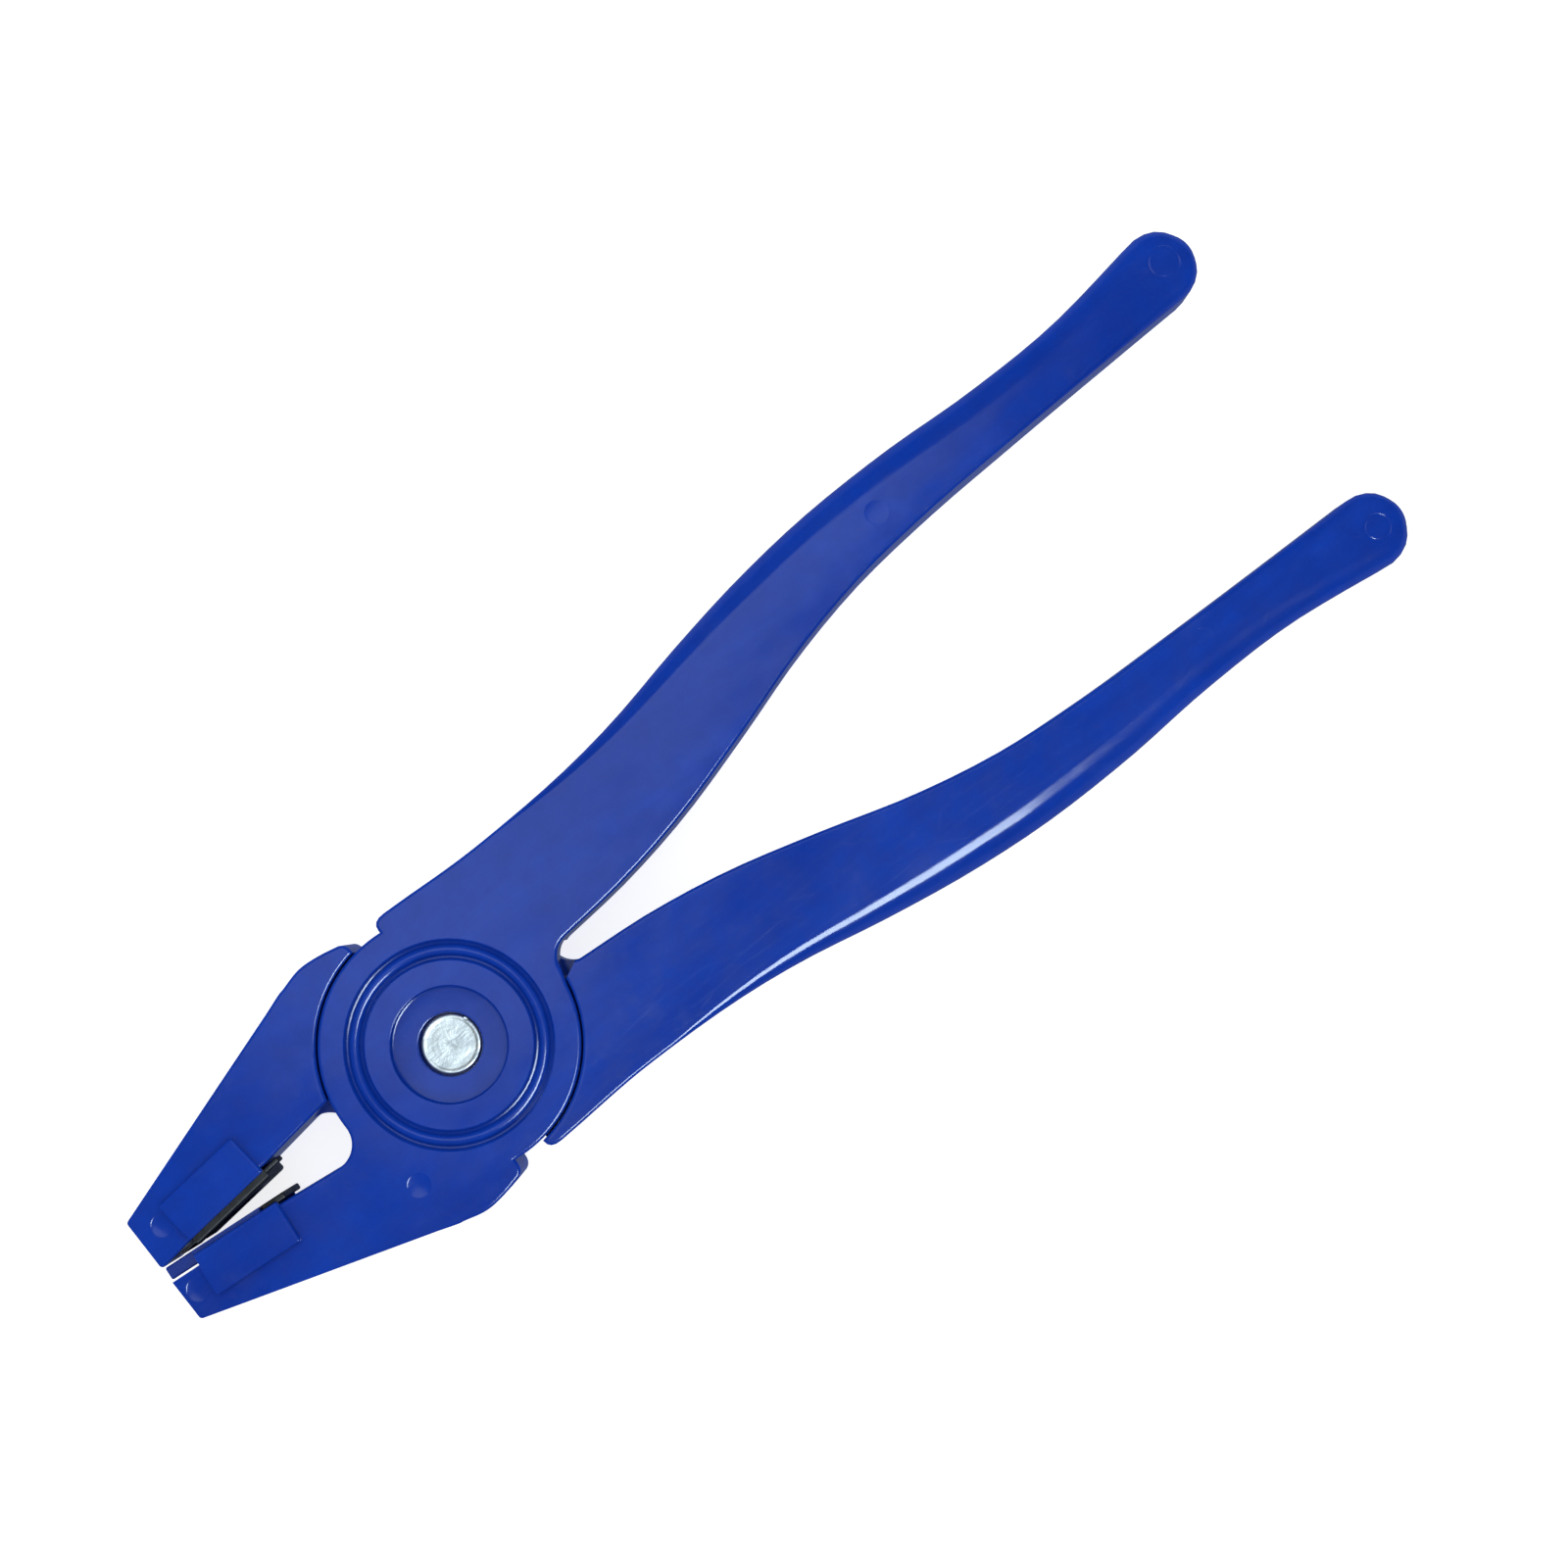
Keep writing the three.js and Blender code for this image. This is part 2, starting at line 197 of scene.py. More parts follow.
def glide(points, steps=6):
    """A smooth line through the points."""
    line = []
    for i in range(len(points) - 1):
        a, b, c = points[max(i - 1, 0)], points[i], points[i + 1]
        d = points[min(i + 2, len(points) - 1)]
        for k in range(steps):
            t = k / steps
            line.append(tuple(
                0.5 * (2 * b[j] + (c[j] - a[j]) * t + (2 * a[j] - 5 * b[j] + 4 * c[j] - d[j]) * t * t
                       + (3 * b[j] - a[j] - 3 * c[j] + d[j]) * t ** 3)
                for j in (0, 1)
            ))
    return line + [tuple(points[-1])]


def arc(centre, radius, start, end, steps):
    """Points round a centre from one angle to another, both ends counted."""
    turns = [start + (end - start) * i / steps for i in range(steps + 1)]
    return [(centre[0] + radius * math.cos(t), centre[1] + radius * math.sin(t)) for t in turns]


def corner_curve(start, control, end, steps=4):
    """A rounded corner drawn from start to end, pulled towards the control point."""
    made = []
    for i in range(1, steps + 1):
        t = i / steps
        made.append(tuple(
            (1 - t) ** 2 * start[j] + 2 * t * (1 - t) * control[j] + t * t * end[j] for j in (0, 1)
        ))
    return made


def throat_centre(radius, web, slope, rise, side):
    """Centre of a fillet under the line y = slope x + rise that stands off the disc by the web."""
    reach = disc_radius + web + radius
    drop = rise - radius * math.hypot(1, slope)
    a, b = 1 + slope * slope, slope * drop
    x = (-b + side * math.sqrt(b * b - a * (drop * drop - reach * reach))) / a
    return x, slope * x + drop


def height_at(line, x):
    """Height of a line of points over x."""
    for (x0, y0), (x1, y1) in zip(line, line[1:]):
        if min(x0, x1) <= x <= max(x0, x1) and x0 != x1:
            return y0 + (y1 - y0) * (x - x0) / (x1 - x0)
    return line[-1][1]


def end_point(turn):
    """A point on the handle's round end."""
    return handle_length + end_radius * math.cos(turn), handle_spread + end_radius * math.sin(turn)


(line_x, line_y), (next_x, next_y) = throat_line
inner_slope = (next_y - line_y) / (next_x - line_x)
throat = throat_centre(handle_throat_radius, throat_web, inner_slope, line_y - inner_slope * line_x, 1)
throat_turn = math.atan2(throat[1], throat[0])
throat_arc = arc(throat, handle_throat_radius, throat_turn + math.pi,
                 math.pi / 2 + math.atan(inner_slope), 10)
inner_line = glide([throat_arc[-1], *inner_stations, end_point(end_turns_inner)], 12)
outer_line = glide([end_point(end_turns_outer), *outer_stations], 12)

jaw_rise = jaw_tip_inner + jaw_slope * jaw_length
jaw_throat = throat_centre(jaw_throat_radius, 0.0, jaw_slope, jaw_rise, -1)
jaw_throat = (jaw_throat[0], -jaw_throat[1])
jaw_throat_turn = math.atan2(jaw_throat[1], jaw_throat[0]) + 2 * math.pi


def head_outline():
    """The lever's head seen from its disc's side, anticlockwise from the handle's throat."""
    points = list(throat_arc)
    points.append((root_cut, height_at(inner_line, root_cut)))
    points.append((root_cut, height_at(outer_line, root_cut)))
    points += [p for p in outer_line if 4.4 < p[0] < root_cut - 0.6][::2]
    points.append(outer_stations[-1])
    stop_x, stop_top, stop_foot = handle_stop
    points += corner_curve(outer_stations[-1], (stop_x, stop_top), (stop_x, stop_foot))
    disc_start = math.acos(stop_x / disc_radius)
    disc_end = jaw_throat_turn
    points += arc((0, 0), disc_radius, disc_start, disc_end, 44)
    points += arc(jaw_throat, jaw_throat_radius, jaw_throat_turn - math.pi,
                  -math.pi / 2 - math.atan(jaw_slope), 12)[1:]
    points += arc((-jaw_length + tip_corner, -jaw_tip_inner - tip_corner), tip_corner,
                  math.pi / 2 + 0.12, math.pi, 4)
    points += arc((-jaw_length + tip_corner, -jaw_tip_outer + tip_corner), tip_corner,
                  math.pi, 1.5 * math.pi - 0.35, 4)
    points += glide([jaw_guide, *jaw_hump], 6)[6:]
    stop_x, stop_top, stop_foot = jaw_stop
    points += corner_curve(jaw_hump[-1], (stop_x, stop_top), (stop_x, stop_foot))
    points += arc((0, 0), disc_radius, -math.acos(stop_x / disc_radius), throat_turn - web_turn, 28)
    return points


def plate(name, points, low, high):
    """A flat blank: a circle pulled out to an outline, filled and extruded from low to high."""
    bpy.ops.mesh.primitive_circle_add(vertices=len(points), radius=1.0, fill_type="NGON")
    piece = bpy.context.object
    piece.name = name
    for vertex, (x, y) in zip(piece.data.vertices, points):
        vertex.co = (x, y, low)
    hold(piece)
    bpy.ops.object.mode_set(mode="EDIT")
    bpy.ops.mesh.select_all(action="SELECT")
    bpy.ops.mesh.extrude_region_move(TRANSFORM_OT_translate={"value": (0.0, 0.0, high - low)})
    bpy.ops.mesh.select_all(action="SELECT")
    bpy.ops.mesh.normals_make_consistent(inside=False)
    bpy.ops.object.mode_set(mode="OBJECT")
    return piece


lever = plate("front_lever_moulding", head_outline(), -half, half)
bpy.ops.object.mode_set(mode="EDIT")
mark(lever, "EDGE", lambda e: all(abs(abs(v.co.z) - half) < touch for v in e.verts)
     and abs(e.verts[0].co.z - e.verts[1].co.z) < touch
     and not all(abs(v.co.x - root_cut) < touch for v in e.verts))
bpy.ops.mesh.bevel(offset=rim_rounding, segments=rim_steps, profile=0.5, affect="EDGES", clamp_overlap=False)
bpy.ops.object.mode_set(mode="OBJECT")

# The handle is drawn out of the head's cut face, station by station. Its palm edge is rounded more
# and more towards the middle of the grip.
palm_rounding = [(26.0, 0.5), (36.0, 1.3), (48.0, 2.3), (62.0, 3.4), (78.0, 4.2), (95.0, 4.5),
                 (115.0, 4.2), (135.0, 3.7), (150.0, 3.3), (170.0, 3.3)]
inner_rounding = [(26.0, 0.5), (120.0, 0.7), (140.0, 1.3), (150.0, 2.2), (170.0, 2.2)]
end_rounding = 3.0
handle_end = handle_length + end_radius
grip_stations = [30.0 + 4.0 * i for i in range(30)]
end_angles = (-28, 0, 16, 31, 45, 57, 67, 75, 81, 85)
end_stations = [handle_length + end_radius * math.sin(math.radians(a)) for a in end_angles]
stations = [x for x in grip_stations if x < end_stations[0] - 2.0] + end_stations


def edges_at(x):
    """The handle's inner and outer edge over x."""
    reach = math.sqrt(max(end_radius ** 2 - (x - handle_length) ** 2, 0.0))
    inner = height_at(inner_line, x) if x < inner_line[-1][0] else handle_spread - reach
    outer = height_at(outer_line, x) if x < outer_line[0][0] else handle_spread + reach
    return inner, outer


def face_height(x):
    """Height of the handle's face over x: it falls away round the end."""
    run = handle_end - x
    if run >= end_rounding:
        return half
    return half - end_rounding + math.sqrt(end_rounding ** 2 - (end_rounding - run) ** 2)


def shift(value):
    bpy.ops.transform.translate(value=value)


def fresh_ring(piece):
    """Numbers of the vertices that the last extrusion made, each with its height and side."""
    mesh = bmesh.from_edit_mesh(piece.data)
    mesh.verts.index_update()
    return {v.index: (v.co.y, v.co.z) for v in mesh.verts if v.select}


bpy.ops.object.mode_set(mode="EDIT")
mark(lever, "FACE", lambda f: f.normal.x > 0.9 and abs(f.calc_center_median().x - root_cut) < 1e-3)
here = root_cut
inner_y, outer_y = height_at(inner_line, here), height_at(outer_line, here)
inner_r, outer_r, top = rim_rounding, rim_rounding, half
for x in stations:
    bpy.ops.mesh.extrude_region_move(TRANSFORM_OT_translate={"value": (x - here, 0.0, 0.0)})
    ring = fresh_ring(lever)
    next_inner, next_outer = edges_at(x)
    width = next_outer - next_inner
    next_inner_r = min(height_at(inner_rounding, x), 0.42 * width)
    next_outer_r = min(height_at(palm_rounding, x), 0.5 * width)
    next_top = face_height(x)
    middle = (inner_y + inner_r + outer_y - outer_r) / 2
    for edge_y, next_y, radius, next_radius, on_edge in (
        (inner_y, next_inner, inner_r, next_inner_r, lambda y: y < middle),
        (outer_y, next_outer, outer_r, next_outer_r, lambda y: y > middle),
    ):
        for side in (1, -1):
            corner = {i for i, (y, z) in ring.items() if on_edge(y) and side * z > 0}
            mark(lever, "VERT", lambda v: v.index in corner)
            shift((0.0, next_y - edge_y, side * (next_top - top)))
            grow = next_radius / radius
            bpy.ops.transform.resize(value=(1.0, grow, grow), center_override=(x, next_y, side * next_top))
    mark(lever, "FACE", lambda f: all(v.index in ring for v in f.verts))
    here, inner_y, outer_y, top = x, next_inner, next_outer, next_top
    inner_r, outer_r = next_inner_r, next_outer_r
bpy.ops.object.mode_set(mode="OBJECT")

# The die block stands a little proud of both faces, nearer the tip on the front lever. Everything
# the jaws carry is drawn on the axes of the working face, whose origin is the middle of its edge.
block_length, block_depth, block_height = 14.6, 6.75, 1.0
front_inset, rear_inset = 4.85, 6.0
block_proud = 0.35
face_angle = math.radians(5.3)
tray_width, tray_depth = 12.2, 0.6
stem_width, stem_depth = 7.4, 2.0
fit_gap = 0.3


def face_place(inset):
    """The working face's axes for a die block that stands this far from the jaw's tip."""
    from_tip = inset + block_length / 2
    edge = jaw_tip_inner + jaw_slope * from_tip - block_proud
    place = Matrix.Translation((from_tip - jaw_length, -edge, 0.0))
    return place @ Matrix.Rotation(-face_angle, 4, "Z")


def spun(name, profile, steps=96):
    """A profile of (radius, height) points spun about the Z axis. One off the axis is a closed ring."""
    line = bpy.data.meshes.new(name)
    count = len(profile)
    edges = [(i, (i + 1) % count) for i in range(count - 1 if profile[0][0] == 0 else count)]
    line.from_pydata([(r, 0.0, z) for r, z in profile], edges, [])
    piece = bpy.data.objects.new(name, line)
    bpy.context.scene.collection.objects.link(piece)
    hold(piece)
    bpy.ops.object.mode_set(mode="EDIT")
    bpy.ops.mesh.select_all(action="SELECT")
    bpy.ops.mesh.spin(steps=steps, angle=2 * math.pi, center=(0.0, 0.0, 0.0), axis=(0.0, 0.0, 1.0))
    bpy.ops.mesh.select_all(action="SELECT")
    bpy.ops.mesh.remove_doubles(threshold=touch)
    bpy.ops.mesh.dissolve_degenerate(threshold=touch)
    bpy.ops.mesh.select_all(action="SELECT")
    bpy.ops.mesh.normals_make_consistent(inside=False)
    bpy.ops.object.mode_set(mode="OBJECT")
    return piece


def brick(name, low, high, place=Matrix.Identity(4)):
    """A cube stretched between two corners, then put in place."""
    centre = [(a + b) / 2 for a, b in zip(low, high)]
    bpy.ops.mesh.primitive_cube_add(size=1.0, location=centre)
    piece = bpy.context.object
    piece.name = name
    piece.scale = [b - a for a, b in zip(low, high)]
    bpy.ops.object.transform_apply(location=True, rotation=True, scale=True)
    piece.data.transform(place)
    return piece


def join_solid(piece, tool, operation="DIFFERENCE"):
    """Cuts the tool out of the piece, or adds it, and removes the tool."""
    hold(piece)
    change = piece.modifiers.new("change", "BOOLEAN")
    change.operation = operation
    change.solver = "EXACT"
    change.object = tool
    bpy.ops.object.modifier_apply(modifier=change.name)
    bpy.ops.object.mode_set(mode="EDIT")
    bpy.ops.mesh.select_all(action="SELECT")
    bpy.ops.mesh.remove_doubles(threshold=5e-4)
    bpy.ops.mesh.dissolve_degenerate(threshold=5e-4)
    bpy.ops.object.mode_set(mode="OBJECT")
    bpy.data.objects.remove(tool)


def soften(piece, width, steps=3, angle=30.0):
    """Rounds the piece's sharp edges."""
    hold(piece)
    edge = piece.modifiers.new("edge", "BEVEL")
    edge.width = width
    edge.segments = steps
    edge.limit_method = "ANGLE"
    edge.angle_limit = math.radians(angle)
    bpy.ops.object.modifier_apply(modifier=edge.name)


# What the mould leaves out: the seat for the other lever's disc, with a softened mouth, the reliefs
# beside it, the ring bead between its two grooves, the recess, the rivet's counterbore and bore.
low_mouth = -half - clear
seat_mouth_round = 0.45
seat_profile = [(0.0, low_mouth), (21.2, low_mouth), (20.35, -half)]
seat_profile += arc((20.11, -half + seat_mouth_round), seat_mouth_round, -math.pi / 2 + 0.25, -math.pi, 5)
seat_profile += [(disc_pocket_radius, disc_gap / 2), (0.0, disc_gap / 2)]
handle_relief = [(17.0, -3.0), (25.5, -3.0), (25.5, 0.2), (17.0, 4.2)]
handle_relief_top, jaw_relief_top = disc_gap / 2 - 0.03, disc_gap / 2 - 0.06
relief_rear, relief_front, relief_side = -28.0, -16.0, 3.0
jaw_skin = 0.02


def jaw_edge(x):
    """The jaw's inner edge over x, with the skin that the relief leaves."""
    return -jaw_tip_inner - jaw_slope * (x + jaw_length) + jaw_skin


jaw_relief = [(relief_rear, relief_side), (relief_rear, jaw_edge(relief_rear)),
              (relief_front, jaw_edge(relief_front)), (relief_front, relief_side)]
mouth_x, mouth_half = -20.0, 0.22
mouth_rear, mouth_front = -3.4, 4.0
mouth_place = (Matrix.Translation((mouth_x, jaw_edge(mouth_x), -half))
               @ Matrix.Rotation(-math.atan(jaw_slope), 4, "Z") @ Matrix.Rotation(math.pi / 4, 4, "X"))

bead_radius = 14.0
bead_side = [(1.95, 1.0), (1.66, 0.02), (1.56, -0.05), (1.44, -0.3), (1.34, -0.72), (1.2, -0.88),
             (1.0, -0.92), (0.84, -0.84), (0.72, -0.6), (0.62, -0.36), (0.45, -0.2), (0.22, -0.08)]
bead_profile = [(bead_radius - r, half + z) for r, z in bead_side]
bead_profile += [(bead_radius + r, half + z) for r, z in reversed(bead_side)]

recess_radius, recess_floor = 8.7, half - 1.4
head_seat_radius, head_seat = 4.75, 2.1
bore_radius = 2.98
pivot_profile = [(0.0, low_mouth), (bore_radius, low_mouth), (bore_radius, head_seat),
                 (head_seat_radius, head_seat), (head_seat_radius, recess_floor - 0.22),
                 (head_seat_radius + 0.07, recess_floor - 0.07), (head_seat_radius + 0.22, recess_floor),
                 (recess_radius - 0.4, recess_floor), (recess_radius - 0.12, recess_floor + 0.12),
                 (recess_radius, recess_floor + 0.4), (recess_radius, half - 0.16),
                 (recess_radius + 0.05, half - 0.05), (recess_radius + 0.18, half + 0.02),
                 (recess_radius + 0.6, half + clear), (0.0, half + clear)]


def mould(piece, inset):
    """Adds the die block to a lever blank and takes out everything that both levers leave out."""
    place = face_place(inset)
    block = brick("die_block", (-block_length / 2, -block_depth, -half - block_height),
                  (block_length / 2, 0.0, half + block_height))
    soften(block, 0.35, 4)
    block.data.transform(place)
    join_solid(piece, block, "UNION")
    join_solid(piece, brick("tray_cutter", (-block_length / 2, -tray_depth, -tray_width / 2),
                            (block_length / 2 + 4.0, 4.0, tray_width / 2), place))
    pocket = stem_width / 2 + fit_gap
    join_solid(piece, brick("pocket_cutter", (-pocket, -tray_depth - stem_depth, -pocket),
                            (pocket, clear, pocket), place))
    join_solid(piece, spun("disc_seat", seat_profile, 144))
    join_solid(piece, plate("handle_relief", handle_relief, low_mouth, handle_relief_top))
    join_solid(piece, plate("jaw_relief", jaw_relief, low_mouth, jaw_relief_top))
    join_solid(piece, brick("relief_mouth", (mouth_rear, -mouth_half, -mouth_half),
                            (mouth_front, mouth_half, mouth_half), mouth_place))
    join_solid(piece, spun("bead_cutter", bead_profile, 144))
    join_solid(piece, spun("pivot_cutter", pivot_profile, 96))


tongue_setback = 0.1
tongue_length, tongue_thickness, tongue_width = front_inset - tongue_setback, 2.05, 10.0
holder_proud = 0.7
pin_radius = 1.8


def pressed_in(piece, name, profile, x, y, side):
    """Cuts a spun profile, drawn from the lever's face outwards, into the face on one side."""
    tool = spun(name, [(r, side * (half + z)) for r, z in profile], 48)
    tool.data.transform(Matrix.Translation((x, y, 0.0)))
    join_solid(piece, tool)


def ejector_mark(piece, x, y, side, depth):
    """The faint ring that an ejector pin leaves: a shallow round step in the face."""
    step = [(0.0, 0.0), (pin_radius - 0.14, 0.0), (pin_radius - 0.05, 0.3 * depth),
            (pin_radius + 0.04, depth), (pin_radius + 0.3, depth + 0.5), (0.0, depth + 0.5)]
    pressed_in(piece, "ejector_pin", [(r, z - depth) for r, z in step], x, y, side)


def ring_mark(piece, x, y, side, radius):
    """The thin groove round an ejector pin that stood slightly proud."""
    groove = [(0.36, 0.3), (0.34, 0.004), (0.22, -0.03), (0.08, -0.056)]
    ring = [(radius - r, z) for r, z in groove] + [(radius + r, z) for r, z in reversed(groove)]
    pressed_in(piece, "ring_mark", ring, x, y, side)


def double(piece, name):
    """A copy with its own mesh."""
    made = piece.copy()
    made.data = piece.data.copy()
    made.name = name
    bpy.context.scene.collection.objects.link(made)
    return made


rear_lever = double(lever, "rear_lever_moulding")
front_lever = lever
mould(front_lever, front_inset)
mould(rear_lever, rear_inset)
join_solid(front_lever, brick(
    "tongue_cutter",
    (-block_length / 2 - tongue_length - 4.0, holder_proud - tongue_thickness - fit_gap, -half - 2.0),
    (fit_gap - block_length / 2, 4.0, half + 2.0),
    face_place(front_inset),
))
for x, y, depth in ((-50.7, -5.25, 0.08), (-16.1, -13.4, 0.06), (98.0, 22.5, 0.02)):
    ejector_mark(front_lever, x, y, 1, depth)
for x, y, depth in ((-49.05, -5.35, 0.08), (124.0, 22.2, 0.02)):
    ejector_mark(rear_lever, x, y, -1, depth)
ring_mark(front_lever, 154.6, 25.3, 1, 2.3)
ring_mark(rear_lever, 154.6, 25.2, -1, 1.9)
turned_over = Matrix.Rotation(math.pi, 4, "X")
rear_lever.data.transform(turned_over)


# Glossy blue plastic with the faint clouding and flow lines of a moulding, a little waviness in its
# flats, rubbed patches and hairline scratches.
def new_material(name):
    made = bpy.data.materials.new(name)
    made.use_nodes = True
    tree = made.node_tree
    return made, tree, tree.nodes["Principled BSDF"]


def place_nodes(tree, stretch, turn=0.0):
    """Object coordinates, stretched and turned."""
    where = tree.nodes.new("ShaderNodeTexCoord")
    mapped = tree.nodes.new("ShaderNodeMapping")
    mapped.inputs["Scale"].default_value = stretch
    mapped.inputs["Rotation"].default_value = (0.0, 0.0, turn)
    tree.links.new(where.outputs["Object"], mapped.inputs["Vector"])
    return mapped.outputs["Vector"]


def cloud(tree, vector, scale, detail=4.0, rough=0.55, warp=0.0):
    made = tree.nodes.new("ShaderNodeTexNoise")
    made.inputs["Scale"].default_value = scale
    made.inputs["Detail"].default_value = detail
    made.inputs["Roughness"].default_value = rough
    made.inputs["Distortion"].default_value = warp
    tree.links.new(vector, made.inputs["Vector"])
    return made.outputs["Fac"]


def spread(tree, value, low, high, new_low=0.0, new_high=1.0):
    """Maps a value from one range to another, clamped."""
    made = tree.nodes.new("ShaderNodeMapRange")
    made.inputs["From Min"].default_value = low
    made.inputs["From Max"].default_value = high
    made.inputs["To Min"].default_value = new_low
    made.inputs["To Max"].default_value = new_high
    tree.links.new(value, made.inputs["Value"])
    return made.outputs["Result"]


def blend_colour(tree, share, first, second):
    """Mixes two colours, each a colour or a socket, by a share that is a socket."""
    made = tree.nodes.new("ShaderNodeMix")
    made.data_type = "RGBA"
    tree.links.new(share, made.inputs["Factor"])
    for socket, colour in ((made.inputs[6], first), (made.inputs[7], second)):
        if isinstance(colour, tuple):
            socket.default_value = (*colour, 1.0)
        else:
            tree.links.new(colour, socket)
    return made.outputs[2]


def combine(tree, kind, first, second):
    made = tree.nodes.new("ShaderNodeMath")
    made.operation = kind
    for socket, value in zip(made.inputs, (first, second)):
        if isinstance(value, float):
            socket.default_value = value
        else:
            tree.links.new(value, socket)
    return made.outputs["Value"]


def relief_bump(tree, height, distance, strength=1.0, under=None):
    made = tree.nodes.new("ShaderNodeBump")
    made.inputs["Strength"].default_value = strength
    made.inputs["Distance"].default_value = distance
    tree.links.new(height, made.inputs["Height"])
    if under is not None:
        tree.links.new(under, made.inputs["Normal"])
    return made.outputs["Normal"]


def scratches(tree, turn, scale, width):
    """Hairlines: the thin rims of long stretched cells."""
    vector = place_nodes(tree, (scale, scale * 9.0, scale * 9.0), turn)
    cells = tree.nodes.new("ShaderNodeTexVoronoi")
    cells.feature = "DISTANCE_TO_EDGE"
    cells.inputs["Scale"].default_value = 1.0
    tree.links.new(vector, cells.inputs["Vector"])
    return spread(tree, cells.outputs["Distance"], 0.0, width, 1.0, 0.0)


def blue_plastic(name, deep, bright, gloss):
    made, tree, shader = new_material(name)
    along = place_nodes(tree, (22.0, 75.0, 75.0))
    even = place_nodes(tree, (1.0, 1.0, 1.0))
    flow = spread(tree, cloud(tree, along, 1.0, 5.0, 0.6, 0.8), 0.32, 0.68)
    mottle = spread(tree, cloud(tree, even, 260.0, 4.0, 0.6), 0.35, 0.65)
    speck = spread(tree, cloud(tree, even, 2600.0, 2.0), 0.60, 0.80)
    colour = blend_colour(tree, flow, deep, bright)
    dusk = tuple(0.80 * c for c in deep)
    share = combine(tree, "MULTIPLY", mottle, 0.35)
    colour = blend_colour(tree, share, colour, dusk)
    pale = tuple(min(1.0, 1.15 * c + 0.012) for c in bright)
    colour = blend_colour(tree, combine(tree, "MULTIPLY", speck, 0.25), colour, pale)
    rubbed = spread(tree, cloud(tree, even, 95.0, 6.0, 0.7, 0.4), 0.56, 0.74)
    colour = blend_colour(tree, combine(tree, "MULTIPLY", rubbed, 0.06), colour, (0.06, 0.12, 0.40))
    lines = scratches(tree, 0.5, 70.0, 0.012)
    tree.links.new(colour, shader.inputs["Base Color"])
    rough = spread(tree, cloud(tree, even, 130.0, 5.0, 0.6), 0.3, 0.7, gloss, gloss + 0.06)
    rough = combine(tree, "ADD", rough, combine(tree, "MULTIPLY", rubbed, 0.05))
    rough = combine(tree, "ADD", rough, combine(tree, "MULTIPLY", lines, 0.05))
    tree.links.new(rough, shader.inputs["Roughness"])
    shader.inputs["Specular IOR Level"].default_value = 0.5
    shader.inputs["IOR"].default_value = 1.5
    wave = cloud(tree, place_nodes(tree, (55.0, 80.0, 80.0)), 1.0, 2.0, 0.4)
    grain = cloud(tree, even, 1500.0, 3.0, 0.6)
    normal = relief_bump(tree, wave, 0.00022)
    normal = relief_bump(tree, grain, 0.000002, 1.0, normal)
    normal = relief_bump(tree, lines, -0.000003, 0.5, normal)
    tree.links.new(normal, shader.inputs["Normal"])
    return made


lever_blue = blue_plastic("lever_blue", (0.0016, 0.031, 0.33), (0.0036, 0.046, 0.42), 0.125)
mid_height = (cad_low.z + cad_high.z) / 2
head_face = -mid_height * 1000.0


def settle(piece, material, body, replaced):
    """Finishes a piece drawn in millimetres: size, height, shading, material and body, and hides the parts
    it replaces.
    """
    hold(piece)
    piece.data.materials.clear()
    piece.data.materials.append(material)
    piece.data.transform(Matrix.Translation((0.0, 0.0, mid_height)) @ Matrix.Scale(0.001, 4))
    bpy.ops.object.shade_smooth_by_angle(angle=math.radians(32.0))
    weigh = piece.modifiers.new("even_normals", "WEIGHTED_NORMAL")
    weigh.keep_sharp = True
    bpy.ops.object.modifier_apply(modifier=weigh.name)
    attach(piece, body)
    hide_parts(*replaced)


settle(front_lever, lever_blue, "front", ["front_lever"])
settle(rear_lever, lever_blue, "rear", ["rear_lever"])


# ------------------------------------------------------------------ The anvil pad
# A near-black moulded rubber pad presses on the snap's cap. Its stem is pushed into the rear jaw's
# pocket; its working face is dished, and a small tab stands out at the root end.

pad_proud, pad_width = 1.2, tray_width - 2 * fit_gap
shade_lip_length, shade_lip_proud = 2.3, 0.75
tab_length, tab_proud = 2.6, 0.5
tab_near, tab_far = -5.5, -2.5
dish_floor = pad_proud - 0.4


def on_face(piece, inset, over=False):
    """Moves a piece drawn on the working face's axes to its jaw."""
    piece.data.transform(face_place(inset))
    if over:
        piece.data.transform(turned_over)


def along_face(piece):
    """Turns a piece spun about Z so that its axis stands on the working face."""
    piece.data.transform(Matrix.Rotation(-math.pi / 2, 4, "X"))


def stem(name, top):
    """The square stem that is pushed into a jaw's pocket, up to a height in the tray."""
    return brick(name, (-stem_width / 2, fit_gap - tray_depth - stem_depth, -stem_width / 2),
                 (stem_width / 2, top, stem_width / 2))


anvil_pad = brick("anvil_pad_rubber", (fit_gap - block_length / 2, fit_gap - tray_depth, -pad_width / 2),
                  (block_length / 2, pad_proud, pad_width / 2))
bpy.ops.object.mode_set(mode="EDIT")
mark(anvil_pad, "EDGE", lambda e: all(v.co.y > 0 for v in e.verts))
bpy.ops.mesh.bevel(offset=0.45, segments=5, profile=0.5, affect="EDGES", clamp_overlap=False)
bpy.ops.object.mode_set(mode="OBJECT")
# The lip is painted shade: it carries the pad's black on past the block toward the tip, where the narrow gap
# between the jaws lies in shadow.
shade_lip = brick("pad_shade_lip", (-block_length / 2 - shade_lip_length, fit_gap, -pad_width / 2),
            (1.0 - block_length / 2, shade_lip_proud, pad_width / 2))
soften(shade_lip, 0.12, 3)
join_solid(anvil_pad, shade_lip, "UNION")
tab = brick("pad_tab", (block_length / 2 - 1.0, fit_gap - tray_depth, tab_near),
            (block_length / 2 + tab_length, tab_proud, tab_far))
soften(tab, 0.25, 4)
join_solid(anvil_pad, tab, "UNION")
join_solid(anvil_pad, stem("pad_stem", 0.2), "UNION")
